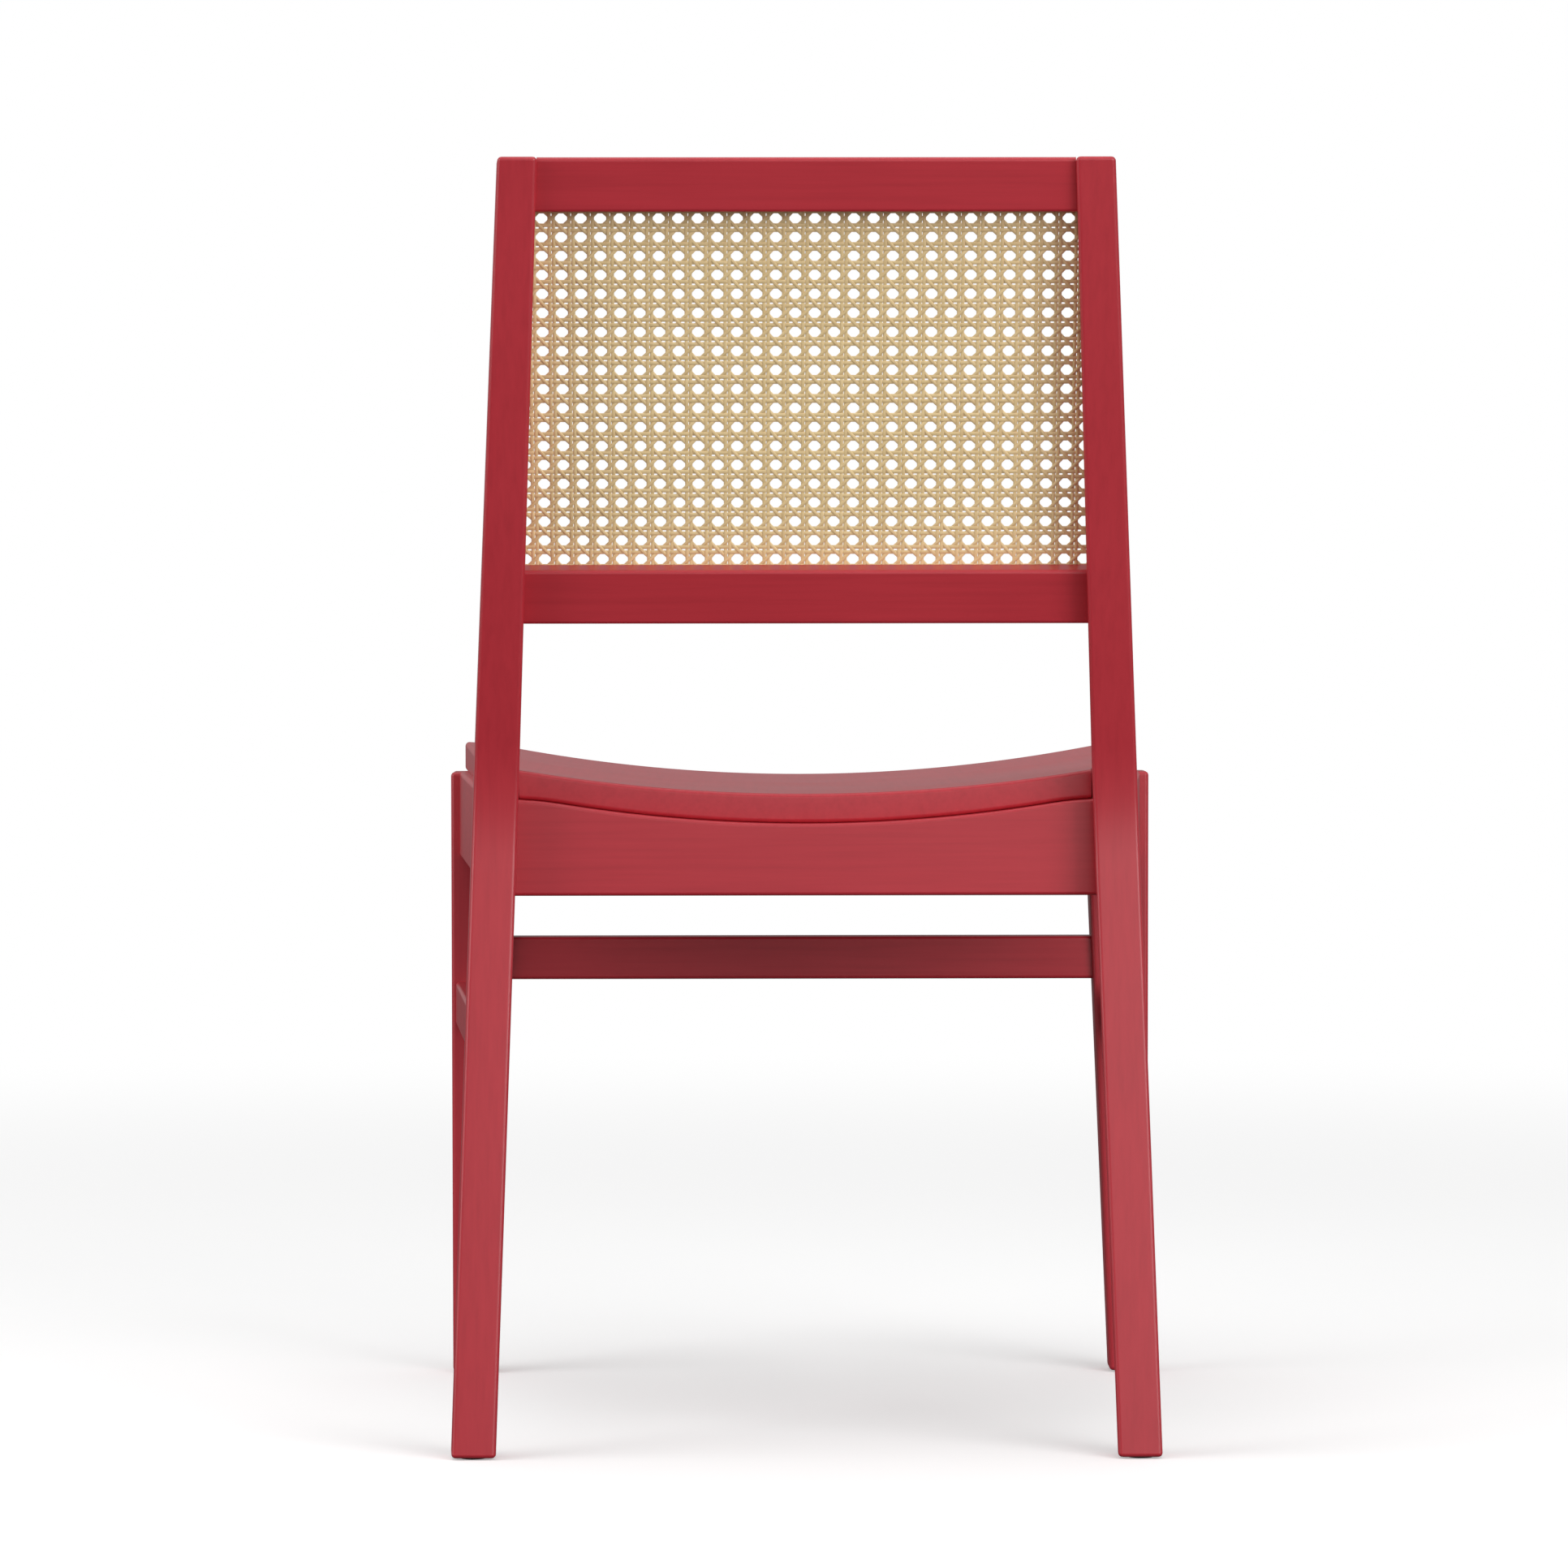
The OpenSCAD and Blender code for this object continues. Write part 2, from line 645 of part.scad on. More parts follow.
module seat_panel() {
    ends = end_rings(seat_round);
    n = len(ends) - 1;
    tongue = rear_inner_low(frame_top, seat_back) - post_clear;
    notch_y = min([for (z = knee_levels) rear_leg_front(z)]) - post_clear;
    color(lacquer) difference() {
        loft(concat(
            [for (e = ends) seat_ring(seat_back - e[0], e[1])],
            [for (i = [0 : n]) seat_ring(seat_front + ends[n - i][0], ends[n - i][1])]),
            strips = len(seat_strips) + 1);
        both_sides() side_bearing();
        both_sides() translate([tongue, notch_y, 0]) cube(reach);
        seat_screws_all(screw_fit);
    }
}

module cane_panel() {
    color(cane_gold)
        back_plate(opening(cane_margin - spline_width - spline_fit), rebate_floor - cane_thick, rebate_floor);
}

// One of the four mitred strips of the spline, counted from the bottom one
module spline(i) {
    outer = opening(cane_margin - spline_fit);
    inner = opening(cane_margin - spline_width + spline_fit);
    j = (i + 1) % 4;
    color(reed) back_plate([outer[i], outer[j], inner[j], inner[i]],
        rebate_floor - cane_thick, rebate_floor + spline_depth - spline_fit);
}

// Corner of the seat frame on the left: the apron's face, and the leg's inner corner
front_corner = [front_apron_back, front_inner(block_base + block_height) - block_clear,
    front_leg_back(frame_top) + block_clear, 1];
rear_corner = [rear_apron_front, rear_inner_low(frame_top, rear_apron_front) - block_clear,
    min([for (z = knee_levels) rear_leg_front(z)]) - block_clear, -1];
function side_inner(y) =
    apron_line_front[0] - apron_thick / cos(side_turn) - (y - apron_line_front[1]) * tan(side_turn);

module corner_block(corner) {
    apron_y = corner[0];
    leg_x = corner[1];
    leg_y = corner[2];
    far_y = leg_y + corner[3] * block_leg;
    color(beech) difference() {
        translate([0, 0, block_base]) linear_extrude(block_height)
            polygon([[leg_x - block_leg, apron_y], [leg_x, apron_y], [leg_x, leg_y],
                [side_inner(leg_y), leg_y], [side_inner(far_y), far_y]]);
        corner_screws_left(corner, screw_fit);
        seat_screw_left(corner, screw_fit);
    }
}

// A screw along +Z with its head below z = 0; its hole also clears the way to the head
module screw(length, grow) {
    cylinder(length + grow, d = screw_d + grow, $fn = bore_fn);
    translate([0, 0, -screw_head_h - (grow > 0 ? block_leg : 0)])
        cylinder(screw_head_h + (grow > 0 ? block_leg : 0), d = screw_head_d + 2 * grow, $fn = bore_fn);
}

// Screws from a corner block into the front or rear apron, and into the side apron
module cross_screw_left(corner, grow) {
    depth = block_leg / 4;
    translate([corner[1] - screw_offset, corner[0] + corner[3] * depth, block_base + block_height / 2])
        rotate([corner[3] * 90, 0, 0]) screw(depth + screw_bite, grow);
}

module side_screw_left(corner, grow) {
    depth = block_leg / 4;
    y = corner[2] + corner[3] * screw_offset;
    translate([side_inner(y) - depth, y, block_base + block_height / 2])
        rotate([0, 90, 0]) screw(depth + screw_bite, grow);
}

module corner_screws_left(corner, grow) {
    cross_screw_left(corner, grow);
    side_screw_left(corner, grow);
}

module seat_screw_left(corner, grow) {
    x = corner[1] - seat_screw_x;
    y = corner[2] + corner[3] * seat_screw_y;
    z = block_base + screw_head_h;
    translate([x, y, z]) screw(seat_low(x) + seat_bite - z, grow);
}

module corner_screws(grow) {
    both_sides() for (corner = [front_corner, rear_corner]) corner_screws_left(corner, grow);
}

module seat_screws_all(grow) {
    both_sides() for (corner = [front_corner, rear_corner]) seat_screw_left(corner, grow);
}

module spline_bottom() {
    spline(0);
}
module spline_left() {
    spline(1);
}
module spline_top() {
    spline(2);
}
module spline_right() {
    spline(3);
}

module corner_block_front_left() {
    corner_block(front_corner);
}
module corner_block_front_right() {
    right_side() corner_block(front_corner);
}
module corner_block_rear_left() {
    corner_block(rear_corner);
}
module corner_block_rear_right() {
    right_side() corner_block(rear_corner);
}

module crest_rail_dowels() {
    color(beech) both_sides() crest_dowels_left();
}
module lower_rail_dowels() {
    color(beech) both_sides() low_rail_dowels_left();
}
module rear_apron_dowels() {
    color(beech) both_sides() rear_apron_dowels_left();
}
module front_apron_dowels() {
    color(beech) both_sides() front_apron_dowels_left();
}
module side_apron_dowels() {
    color(beech) both_sides() side_apron_dowels_left();
}
module front_stretcher_dowels() {
    color(beech) both_sides() front_stretcher_dowels_left();
}
module side_stretcher_dowels() {
    color(beech) both_sides() side_stretcher_dowels_left();
}

module corner_block_screws() {
    color(zinc) corner_screws(0);
}
module seat_screws() {
    color(zinc) seat_screws_all(0);
}

module glide_front_left() {
    glide(front_foot);
}
module glide_front_right() {
    right_side() glide(front_foot);
}
module glide_rear_left() {
    glide(rear_foot);
}
module glide_rear_right() {
    right_side() glide(rear_foot);
}

rear_leg_left();
rear_leg_right();
front_leg_left();
front_leg_right();
crest_rail();
lower_back_rail();
rear_apron();
front_apron();
side_apron_left();
side_apron_right();
front_stretcher();
side_stretcher_left();
side_stretcher_right();
seat_panel();
cane_panel();
spline_bottom();
spline_left();
spline_top();
spline_right();
corner_block_front_left();
corner_block_front_right();
corner_block_rear_left();
corner_block_rear_right();
crest_rail_dowels();
lower_rail_dowels();
rear_apron_dowels();
front_apron_dowels();
side_apron_dowels();
front_stretcher_dowels();
side_stretcher_dowels();
corner_block_screws();
seat_screws();
glide_front_left();
glide_front_right();
glide_rear_left();
glide_rear_right();
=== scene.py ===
import math
import random

import bpy
import numpy as np
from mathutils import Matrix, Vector


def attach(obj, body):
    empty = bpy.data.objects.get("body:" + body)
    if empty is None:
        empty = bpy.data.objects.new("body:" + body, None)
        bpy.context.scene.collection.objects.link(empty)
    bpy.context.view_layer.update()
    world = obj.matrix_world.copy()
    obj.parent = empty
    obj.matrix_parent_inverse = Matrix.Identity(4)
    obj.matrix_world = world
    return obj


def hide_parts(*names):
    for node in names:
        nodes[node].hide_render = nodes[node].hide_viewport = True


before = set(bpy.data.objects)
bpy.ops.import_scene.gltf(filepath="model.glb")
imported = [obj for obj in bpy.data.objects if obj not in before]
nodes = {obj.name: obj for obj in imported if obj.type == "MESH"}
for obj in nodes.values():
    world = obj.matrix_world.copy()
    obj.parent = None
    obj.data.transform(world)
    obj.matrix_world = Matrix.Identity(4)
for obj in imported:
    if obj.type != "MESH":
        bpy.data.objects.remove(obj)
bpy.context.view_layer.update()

scene = bpy.context.scene
MM = 0.001
WHITE = (1, 1, 1)

# ---------------------------------------------------------------- camera
# Behind the chair, a little above the seat, with a long lens
LOOK_DOWN, ROLL, TURN = 1.9305, 0.0636, 0.4319      # degrees
cam = bpy.data.objects.new("camera", bpy.data.cameras.new("camera"))
scene.collection.objects.link(cam)
scene.camera = cam
cam.location = (0.0437, 4.0865, 0.5741)
cam.rotation_euler = (math.radians(90 - LOOK_DOWN), math.radians(ROLL), math.radians(180 - TURN))
cam.data.sensor_width = 36
cam.data.lens = 135.775
cam.data.clip_end = 100


# ---------------------------------------------------------------- materials
class Tree:
    """A material's nodes, made by short calls."""

    def __init__(self, name):
        self.mat = bpy.data.materials.new(name)
        self.mat.use_nodes = True
        self.tree = self.mat.node_tree
        self.bsdf = self.tree.nodes["Principled BSDF"]

    def add(self, kind, inputs=None, **settings):
        node = self.tree.nodes.new("ShaderNode" + kind)
        for key, value in settings.items():
            setattr(node, key, value)
        for key, value in (inputs or {}).items():
            self.put(node.inputs[key], value)
        return node

    def put(self, socket, value):
        if isinstance(value, bpy.types.NodeSocket):
            self.tree.links.new(value, socket)
        else:
            socket.default_value = value

    def ramp(self, fac, stops):
        node = self.add("ValToRGB", {"Fac": fac})
        marks = node.color_ramp.elements
        while len(marks) < len(stops):
            marks.new(0.5)
        for mark, (place, colour) in zip(marks, stops):
            mark.position = place
            mark.color = (*colour, 1)
        return node.outputs["Color"]

    def spread(self, value, low, high, to_low, to_high):
        node = self.add("MapRange", {"Value": value, "From Min": low, "From Max": high,
                                     "To Min": to_low, "To Max": to_high})
        return node.outputs["Result"]

    def noise(self, vector, detail, roughness=0.5):
        """Noise whose scale is already in its vector."""
        node = self.add("TexNoise", {"Vector": vector, "Scale": 1.0, "Detail": detail,
                                     "Roughness": roughness})
        return node.outputs["Fac"]

    def scaled(self, vector, scale):
        return self.add("Mapping", {"Vector": vector, "Scale": scale}).outputs["Vector"]

    def in_place(self, scale):
        """The object's own coordinates, in metres, times a scale for X, Y and Z."""
        return self.scaled(self.add("TexCoord").outputs["Object"], scale)

    def times(self, a, b):
        node = self.add("Mix", data_type="RGBA", blend_type="MULTIPLY")
        self.put(node.inputs[0], 1.0)
        self.put(node.inputs[6], a)
        self.put(node.inputs[7], b)
        return node.outputs[2]

    def bump(self, height, strength, distance):
        node = self.add("Bump", {"Height": height, "Strength": strength, "Distance": distance})
        self.put(self.bsdf.inputs["Normal"], node.outputs["Normal"])

    def shader(self, **values):
        for key, value in values.items():
            self.put(self.bsdf.inputs[key.replace("_", " ")], value)


def lacquer(name, along):
    """Red satin lacquer over close-grained wood, with the grain along X, Y or Z."""
    across_grain, along_grain = 260, 9
    dark, red, bright = (0.500, 0.0225, 0.0365), (0.545, 0.0255, 0.0410), (0.580, 0.0290, 0.0450)
    t = Tree(name)
    fine = [across_grain] * 3
    fine["XYZ".index(along)] = along_grain
    grain = t.noise(t.in_place(fine), 4, 0.6)
    cloud = t.noise(t.in_place([6] * 3), 2)
    peel = t.noise(t.in_place([420] * 3), 2)
    base = t.ramp(grain, [(0.25, dark), (0.5, red), (0.8, bright)])
    tone = t.ramp(cloud, [(0.3, (0.93, 0.93, 0.93)), (0.7, WHITE)])
    t.shader(Base_Color=t.times(base, tone), Specular_IOR_Level=0.5,
             Coat_Weight=0.35, Coat_Roughness=0.22)
    t.shader(Roughness=t.spread(cloud, 0.3, 0.7, 0.40, 0.47))
    relief = t.add("Math", {0: t.spread(grain, 0, 1, 0, 0.7), 1: t.spread(peel, 0, 1, 0, 0.3)},
                   operation="ADD")
    t.bump(relief.outputs[0], 0.25, 0.12 * MM)
    return t.mat


def cane(name, light):
    """Split cane: fibres along the strand, a tint of its own for each strand."""
    r, g, b = light
    dark = (r * 0.83, g * 0.78, b * 0.71)
    middle = (r * 0.99, g * 0.98, b * 0.96)
    t = Tree(name)
    along = t.add("Attribute", attribute_name="along").outputs["Vector"]
    tint = t.add("Attribute", attribute_name="tint").outputs["Fac"]
    fibre = t.noise(t.scaled(along, (60, 3200, 1)), 3)
    patch = t.noise(t.scaled(along, (45, 0, 1)), 3)
    shade = t.ramp(fibre, [(0.2, dark), (0.5, middle), (0.8, light)])
    worn = t.ramp(patch, [(0.35, (0.94, 0.92, 0.88)), (0.65, WHITE)])
    own = t.ramp(tint, [(0.0, (0.92, 0.90, 0.87)), (1.0, WHITE)])
    t.shader(Base_Color=t.times(t.times(shade, worn), own),
             Roughness=t.spread(fibre, 0, 1, 0.5, 0.34), Specular_IOR_Level=0.5)
    t.bump(fibre, 0.35, 0.1 * MM)
    return t.mat


def bare_wood(name):
    dark, middle, bright = (0.42, 0.25, 0.13), (0.56, 0.37, 0.21), (0.64, 0.45, 0.28)
    t = Tree(name)
    grain = t.noise(t.in_place([14, 190, 190]), 4, 0.6)
    fleck = t.noise(t.in_place([90, 1400, 1400]), 2)
    base = t.ramp(grain, [(0.2, dark), (0.55, middle), (0.85, bright)])
    flecks = t.ramp(fleck, [(0.3, (0.78, 0.72, 0.66)), (0.5, WHITE)])
    t.shader(Base_Color=t.times(base, flecks), Roughness=t.spread(grain, 0, 1, 0.55, 0.7))
    t.bump(fleck, 0.3, 0.1 * MM)
    return t.mat


def screw_metal(name):
    t = Tree(name)
    swirl = t.noise(t.in_place([900] * 3), 3)
    t.shader(Base_Color=t.ramp(swirl, [(0.2, (0.44, 0.43, 0.40)), (0.8, (0.68, 0.67, 0.62))]),
             Metallic=1.0, Roughness=t.spread(swirl, 0, 1, 0.28, 0.48))
    t.bump(swirl, 0.2, 0.05 * MM)
    return t.mat


def nylon(name):
    t = Tree(name)
    grit = t.noise(t.in_place([1500] * 3), 3)
    t.shader(Base_Color=t.ramp(grit, [(0.2, (0.016, 0.015, 0.015)), (0.8, (0.034, 0.032, 0.031))]),
             Roughness=t.spread(grit, 0, 1, 0.5, 0.75))
    t.bump(grit, 0.4, 0.1 * MM)
    return t.mat


def reed(name):
    t = Tree(name)
    fibre = t.noise(t.in_place([500] * 3), 3)
    t.shader(Base_Color=t.ramp(fibre, [(0.2, (0.42, 0.27, 0.12)), (0.8, (0.60, 0.42, 0.21))]),
             Roughness=t.spread(fibre, 0, 1, 0.45, 0.6))
    t.bump(fibre, 0.4, 0.1 * MM)
    return t.mat


across = lacquer("lacquer_across", "X")
upright = lacquer("lacquer_upright", "Z")
fore_aft = lacquer("lacquer_fore_aft", "Y")
beech = bare_wood("bare_beech")
zinc = screw_metal("zinc_screw")
black_nylon = nylon("nylon_glide")
reed_mat = reed("reed_spline")

# What a node's name starts with, and its material. The first row that fits is used.
FINISHES = [
    (("rear_leg", "front_leg"), upright),
    (("side_apron_left", "side_apron_right", "side_stretcher_left", "side_stretcher_right",
      "seat_panel"), fore_aft),
    (("spline",), reed_mat),
    (("corner_block_screws", "seat_screws"), zinc),
    (("glide",), black_nylon),
    (("corner_block",), beech),
]


def finish_of(name):
    for starts, material in FINISHES:
        if name.startswith(starts):
            return material
    return beech if name.endswith("dowels") else across


for name, node in nodes.items():
    node.data.materials.clear()
    node.data.materials.append(finish_of(name))

# Smooth shading across the facets of the wooden pieces, with true edges kept sharp
SAME_POINT = 1e-6           # metres
SHARP_FROM = 32             # degrees
for name, node in nodes.items():
    if name == "cane_panel":
        continue
    weld = node.modifiers.new("weld", "WELD")
    weld.merge_threshold = SAME_POINT
    split = node.modifiers.new("edges", "EDGE_SPLIT")
    split.split_angle = math.radians(SHARP_FROM)
    even = node.modifiers.new("normals", "WEIGHTED_NORMAL")
    even.weight = 60

# ---------------------------------------------------------------- woven cane
# The back frame's own axes: u across, n out behind its front plane, v up along its slope.
# They come from the panel's mesh, a flat plate: its lowest and highest points give its slope.
END_BAND = 0.003            # metres; points this near the top or bottom belong to that end
plate = nodes["cane_panel"].data
points = np.array([v.co[:] for v in plate.vertices])
top = points[points[:, 2] > points[:, 2].max() - END_BAND]
low = points[points[:, 2] < points[:, 2].min() + END_BAND]
front_low = low[low[:, 1].argmin()]
front_top = top[top[:, 1].argmin()]
rise = Vector((0, front_top[1] - front_low[1], front_top[2] - front_low[2]))
up = rise.normalized()
out = Vector((0, up.z, -up.y))
panel_origin = Vector((0, front_low[1], front_low[2]))
panel_height = rise.length
half_low = abs(low[:, 0]).max()
half_top = abs(top[:, 0]).max()
panel_thick = max(out.dot(Vector(p) - panel_origin) for p in points)

PITCH = 12.7 * MM
ROWS, COLUMNS = 19, 28
BOTTOM_ROW = 9.25 * MM      # middle of the lowest row of holes above the panel's lower edge
GRID_SHIFT = 0.62 * MM      # the grid's middle is this far to the sitter's left
# Upright, level and diagonal strands
WIDTH_V, WIDTH_H, WIDTH_D = 2.26 * MM, 2.50 * MM, 2.15 * MM
THICK = 0.42 * MM
PAIR_V, PAIR_H = 1.31 * MM, 1.72 * MM           # half the spacing of the strands in a pair
RISE_NODE, RISE_CROSS = 0.24 * MM, 0.46 * MM    # how far they bend: in pairs, diagonals
SAG, SAG_REACH, SAG_EASE = 1.9 * MM, 33 * MM, 3 * MM    # the top rows are drawn down a little
EDGE_GAP = 0.2 * MM         # between a strand's end and the panel's sides
END_GAP = 0.9 * MM          # between a level strand and the panel's ends
SHORTEST = 4 * MM           # a shorter upright strand is left out
FEWEST = 7                  # a diagonal with fewer sections is left out
WOBBLE = 0.05               # mm that a strand may lie off its place
STEP = PITCH / 10           # between the sections of a strand
# A strand's section, in widths and thicknesses, crowned towards the rear
SECTION = [(-0.5, -0.12), (-0.42, 0.28), (0.0, 0.5), (0.42, 0.28), (0.5, -0.12), (0.0, -0.5)]
SHIFT_BY_TINT = 7.3         # gives each strand's fibres a part of the noise of their own
STEEPNESS = 2.0             # how sharply a diagonal passes from one side to the other

node_u0 = GRID_SHIFT - COLUMNS / 2 * PITCH      # first upright pair
node_v0 = BOTTOM_ROW - PITCH / 2                # first level pair
pv, ph = PAIR_V / PITCH, PAIR_H / PITCH


def half_width(v):
    return half_low + (half_top - half_low) * v / panel_height


def inside_u(v):
    return half_width(v) - EDGE_GAP


def place(u, v, n):
    below_top = v - panel_height
    v -= SAG * math.exp(below_top / SAG_REACH) * (1 - math.exp(below_top / SAG_EASE))
    return panel_origin + Vector((u, 0, 0)) + up * v + out * (panel_thick / 2 + n)


def heights(s, marks):
    """Smooth periodic height at s, in pitches, through marks of (place, height)."""
    s = s % 1.0
    marks = sorted(marks)
    marks = [(marks[-1][0] - 1, marks[-1][1])] + marks + [(marks[0][0] + 1, marks[0][1])]
    for (a, p), (b, q) in zip(marks, marks[1:]):
        if a <= s <= b:
            x = (s - a) / (b - a)
            return p + (q - p) * (3 * x * x - 2 * x ** 3)
    return 0.0


def strand(rows, path, tint, width):
    """Adds one strand: a ribbon with a crowned section, along path = [(u, v, n), ...]."""
    base, k = len(rows["verts"]), len(SECTION)
    flow = 0.0
    for i, (u, v, n) in enumerate(path):
        a, b = path[max(i - 1, 0)], path[min(i + 1, len(path) - 1)]
        du, dv = b[0] - a[0], b[1] - a[1]
        length = math.sqrt(du * du + dv * dv) or 1e-9
        if i:
            flow += math.dist(path[i - 1], path[i])
        side = (-dv / length, du / length)
        for x, z in SECTION:
            rows["verts"].append(place(u + side[0] * x * width, v + side[1] * x * width,
                                       n + z * THICK))
            rows["along"].append((flow + tint * SHIFT_BY_TINT, x * width, 0))
            rows["tint"].append(tint)
    for i in range(len(path) - 1):
        for j in range(k):
            a, b = base + i * k + j, base + i * k + (j + 1) % k
            rows["faces"].append((a, b, b + k, a + k))
    rows["faces"].append([base + j for j in reversed(range(k))])
    rows["faces"].append([base + (len(path) - 1) * k + j for j in range(k)])


def new_rows():
    return {"verts": [], "faces": [], "along": [], "tint": []}


def weave_piece(name, rows, material):
    mesh = bpy.data.meshes.new(name)
    mesh.from_pydata([tuple(v) for v in rows["verts"]], [], rows["faces"])
    mesh.polygons.foreach_set("use_smooth", [True] * len(mesh.polygons))
    layer = mesh.attributes.new("along", "FLOAT_VECTOR", "POINT")
    layer.data.foreach_set("vector", np.array(rows["along"], dtype=np.float32).ravel())
    layer = mesh.attributes.new("tint", "FLOAT", "POINT")
    layer.data.foreach_set("value", np.array(rows["tint"], dtype=np.float32))
    mesh.materials.append(material)
    piece = bpy.data.objects.new(name, mesh)
    scene.collection.objects.link(piece)
    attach(piece, "root")
    return piece


rng = random.Random(4)


def wobble():
    return rng.uniform(-WOBBLE, WOBBLE) * MM


verticals, horizontals, falling, rising = new_rows(), new_rows(), new_rows(), new_rows()

for i in range(-1, COLUMNS + 2):
    for side in (-1, 1):
        u = node_u0 + i * PITCH + side * PAIR_V + wobble()
        # The strand of a pair at the lower u goes under the lower level strand and over the
        # upper one. The other strand does the opposite.
        marks = [(-ph % 1.0, side * RISE_NODE), (ph, -side * RISE_NODE), (0.5, 0.0)]
        high_v = panel_height
        if abs(u) > inside_u(high_v):
            high_v = panel_height * (half_low - EDGE_GAP - abs(u)) / (half_low - half_top)
        if high_v < SHORTEST:
            continue
        count = max(2, int(high_v / STEP))
        path = []
        for k in range(count + 1):
            v = high_v * k / count
            path.append((u, v, heights((v - node_v0) / PITCH, marks)))
        strand(verticals, path, rng.random(), WIDTH_V)

for j in range(-1, ROWS + 2):
    for side in (-1, 1):
        v = node_v0 + j * PITCH + side * PAIR_H + wobble()
        if not END_GAP < v < panel_height - END_GAP:
            continue
        marks = [(-pv % 1.0, -side * RISE_NODE), (pv, side * RISE_NODE), (0.5, 0.0)]
        edge = inside_u(v)
        count = max(2, int(2 * edge / STEP))
        path = []
        for k in range(count + 1):
            u = -edge + 2 * edge * k / count
            path.append((u, v, heights((u - node_u0) / PITCH, marks)))
        strand(horizontals, path, rng.random(), WIDTH_H)


def diagonal(rows, shift, way):
    """A diagonal through the middles of the cells' sides. way is 1 if it rises towards +u.

    Those that rise towards +u go over the level pairs and under the upright ones, seen from
    behind. The others do the opposite.
    """
    path = []
    span = int(panel_height / STEP) + 1
    for k in range(span + 1):
        v = panel_height * k / span
        u = shift + way * (v - node_v0)
        if abs(u) > inside_u(v):
            continue
        s = (v - node_v0) / PITCH % 1.0      # 0 on a level pair, 0.5 on an upright pair
        c = math.cos(2 * math.pi * s)
        path.append((u, v, RISE_CROSS * way * math.tanh(STEEPNESS * c) / math.tanh(STEEPNESS)))
    if len(path) >= FEWEST:
        strand(rows, path, rng.random(), WIDTH_D)


for k in range(-ROWS - 3, COLUMNS + ROWS + 4):
    start = node_u0 + (k + 0.5) * PITCH
    diagonal(rising, start + wobble(), 1)
    diagonal(falling, start + wobble(), -1)

CANE_LIGHT = (1.0, 0.78, 0.43)
cane_pieces = [
    weave_piece(name, rows, cane(name, CANE_LIGHT))
    for name, rows in (("cane_verticals", verticals), ("cane_horizontals", horizontals),
                       ("cane_rising", rising), ("cane_falling", falling))
]
for piece in cane_pieces:
    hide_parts("cane_panel")

# ---------------------------------------------------------------- floor
# Pale floor that runs out into the white backdrop
FLOOR_HALF = 30                     # metres
RUNOUT_FROM, RUNOUT_TO = 0.9, 3.2   # metres from the middle, where it fades into the backdrop
floor_mesh = bpy.data.meshes.new("floor")
floor_mesh.from_pydata([(-FLOOR_HALF, -FLOOR_HALF, 0), (FLOOR_HALF, -FLOOR_HALF, 0),
                        (FLOOR_HALF, FLOOR_HALF, 0), (-FLOOR_HALF, FLOOR_HALF, 0)],
                       [], [(0, 1, 2, 3)])
floor = bpy.data.objects.new("floor", floor_mesh)
scene.collection.objects.link(floor)
t = Tree("floor")
t.shader(Base_Color=(0.92, 0.92, 0.92, 1), Roughness=0.9, Specular_IOR_Level=0.1,
         Emission_Color=(*WHITE, 1), Emission_Strength=0.3)
from_middle = t.add("VectorMath", {0: t.add("TexCoord").outputs["Object"]}, operation="LENGTH")
runout = t.add("MapRange", {"Value": from_middle.outputs["Value"],
                            "From Min": RUNOUT_FROM, "From Max": RUNOUT_TO},
               interpolation_type="SMOOTHSTEP").outputs["Result"]
white = t.add("Emission", {"Color": (*WHITE, 1), "Strength": 1.0})
blend = t.add("MixShader", {0: runout, 1: t.bsdf.outputs["BSDF"], 2: white.outputs["Emission"]})
t.put(t.tree.nodes["Material Output"].inputs["Surface"], blend.outputs["Shader"])
floor_mesh.materials.append(t.mat)
floor.visible_glossy = False
floor.visible_diffuse = False

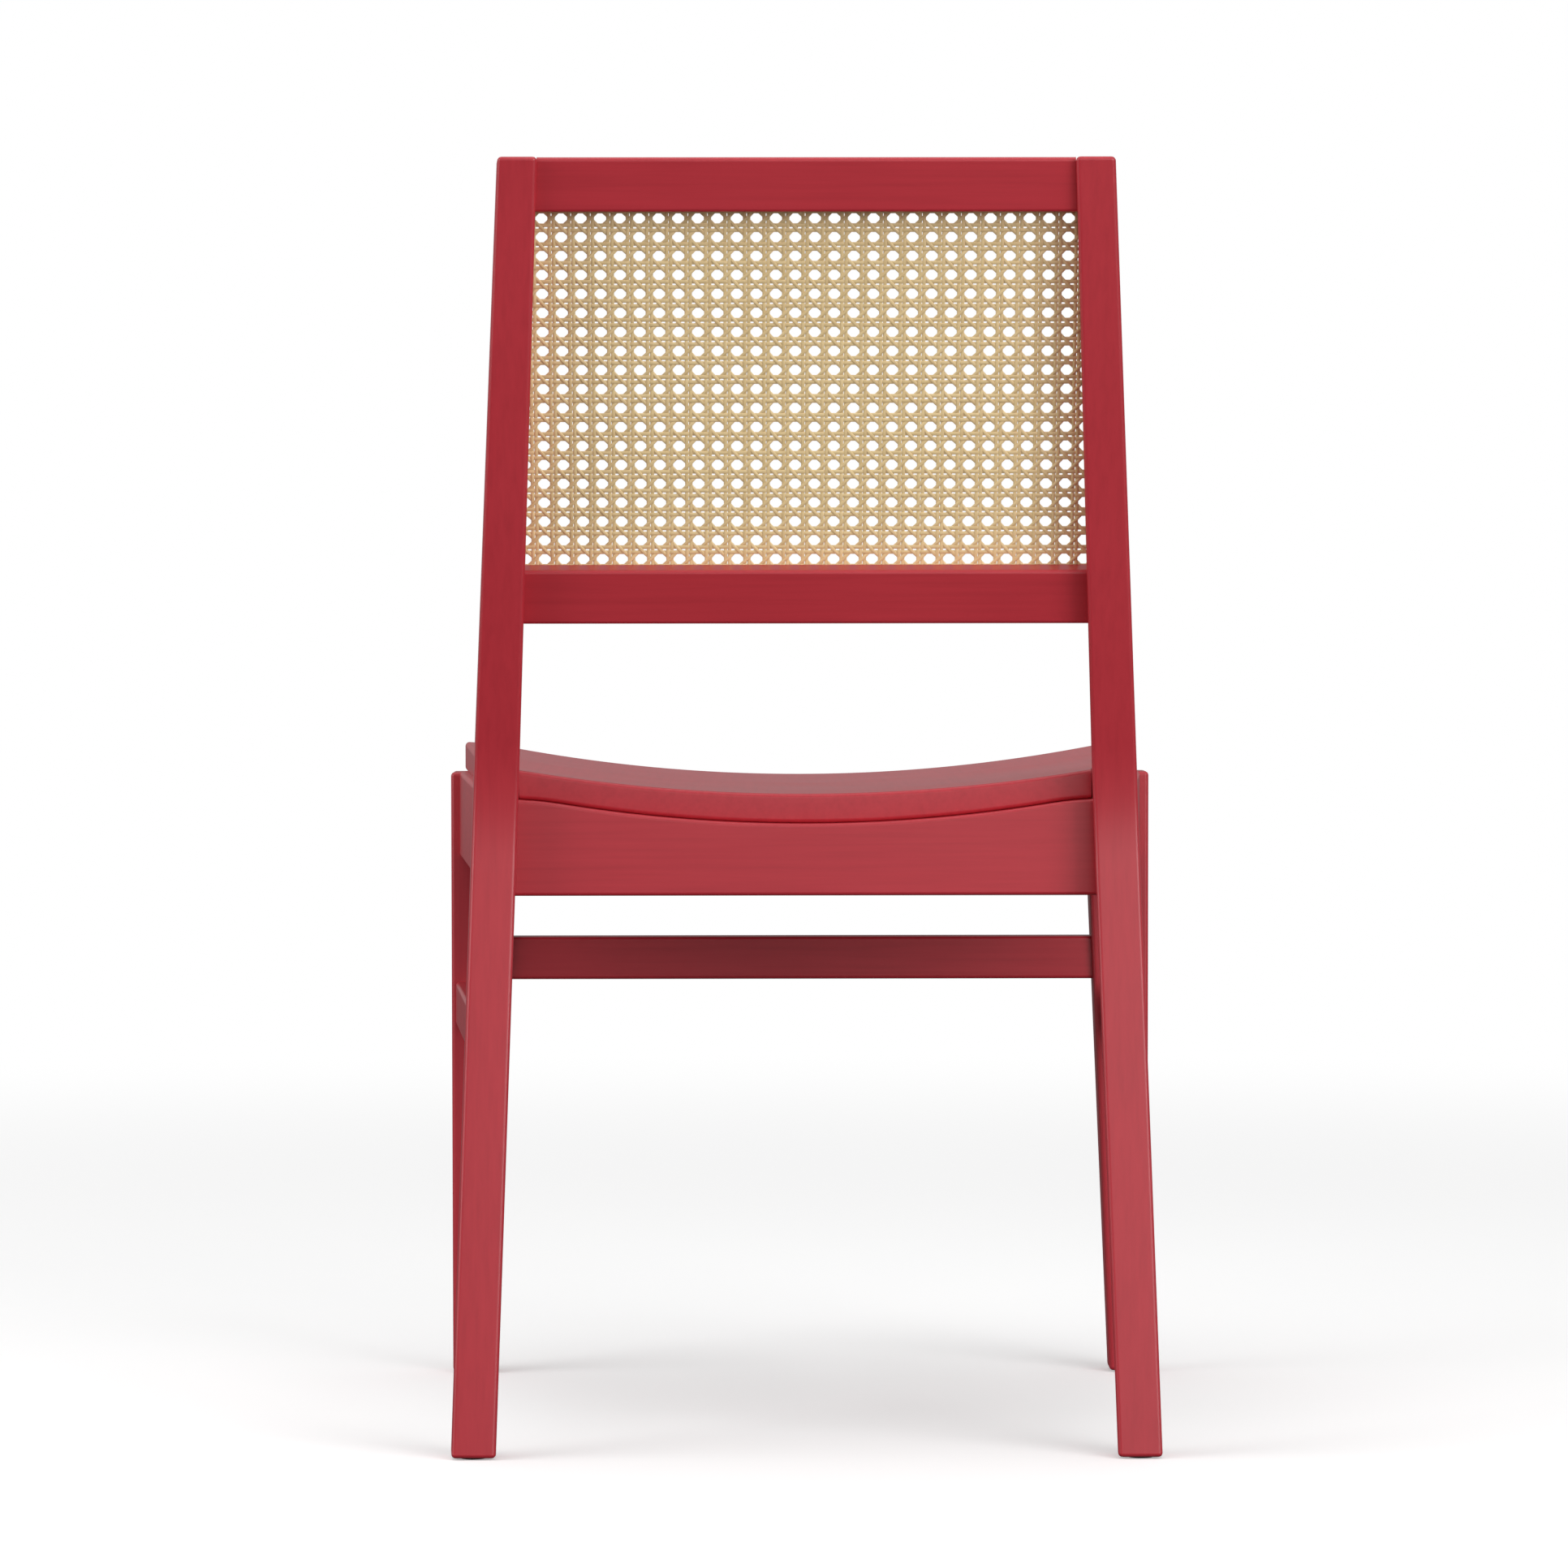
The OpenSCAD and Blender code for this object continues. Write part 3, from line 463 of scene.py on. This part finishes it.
# ---------------------------------------------------------------- light
# A grey studio dome, dimmer below the horizon. The backdrop itself is pure white, which only
# the camera sees.
DOME, UNDER = 0.36, 0.08
HORIZON_FROM, HORIZON_TO = -0.06, 0.0
world = bpy.data.worlds.new("studio")
scene.world = world
world.use_nodes = True
dome = world.node_tree
direction = dome.nodes.new("ShaderNodeTexCoord").outputs["Generated"]
split_z = dome.nodes.new("ShaderNodeSeparateXYZ")
dome.links.new(direction, split_z.inputs[0])
fade = dome.nodes.new("ShaderNodeMapRange")
fade.interpolation_type = "SMOOTHSTEP"
for key, value in {"From Min": HORIZON_FROM, "From Max": HORIZON_TO,
                   "To Min": UNDER, "To Max": DOME}.items():
    fade.inputs[key].default_value = value
dome.links.new(split_z.outputs["Z"], fade.inputs["Value"])
seen = dome.nodes.new("ShaderNodeLightPath").outputs["Is Camera Ray"]
choice = dome.nodes.new("ShaderNodeMix")
dome.links.new(seen, choice.inputs[0])
dome.links.new(fade.outputs["Result"], choice.inputs[2])
choice.inputs[3].default_value = 1.0
dome.links.new(choice.outputs[0], dome.nodes["Background"].inputs["Strength"])
dome.nodes["Background"].inputs["Color"].default_value = (*WHITE, 1)

MIDDLE, SEAT = (0, 0, 0.5), (0, 0, 0.4)
LAMPS = [                           # name, place, what it faces, width in metres, watts
    ("key", (-2.2, 2.6, 3.0), MIDDLE, 3.0, 28),
    ("top", (0.3, 0.3, 3.4), SEAT, 2.8, 24),
    ("side", (3.2, 1.2, 1.5), MIDDLE, 2.8, 53),
    ("low_side", (-3.1, 3.3, 1.35), MIDDLE, 2.6, 62),
    ("rear_side", (-2.2, 4.8, 1.5), MIDDLE, 2.6, 25),
    ("rear", (-0.6, 5.2, 1.25), MIDDLE, 2.4, 15),
]
for name, spot, target, width, watts in LAMPS:
    lamp = bpy.data.lights.new(name, "AREA")
    lamp.shape = "DISK"
    lamp.size = width
    lamp.energy = watts
    holder = bpy.data.objects.new(name, lamp)
    scene.collection.objects.link(holder)
    holder.location = spot
    way = Vector(target) - Vector(spot)
    holder.rotation_euler = way.to_track_quat("-Z", "Y").to_euler()

scene.view_settings.view_transform = "Standard"
scene.view_settings.look = "None"
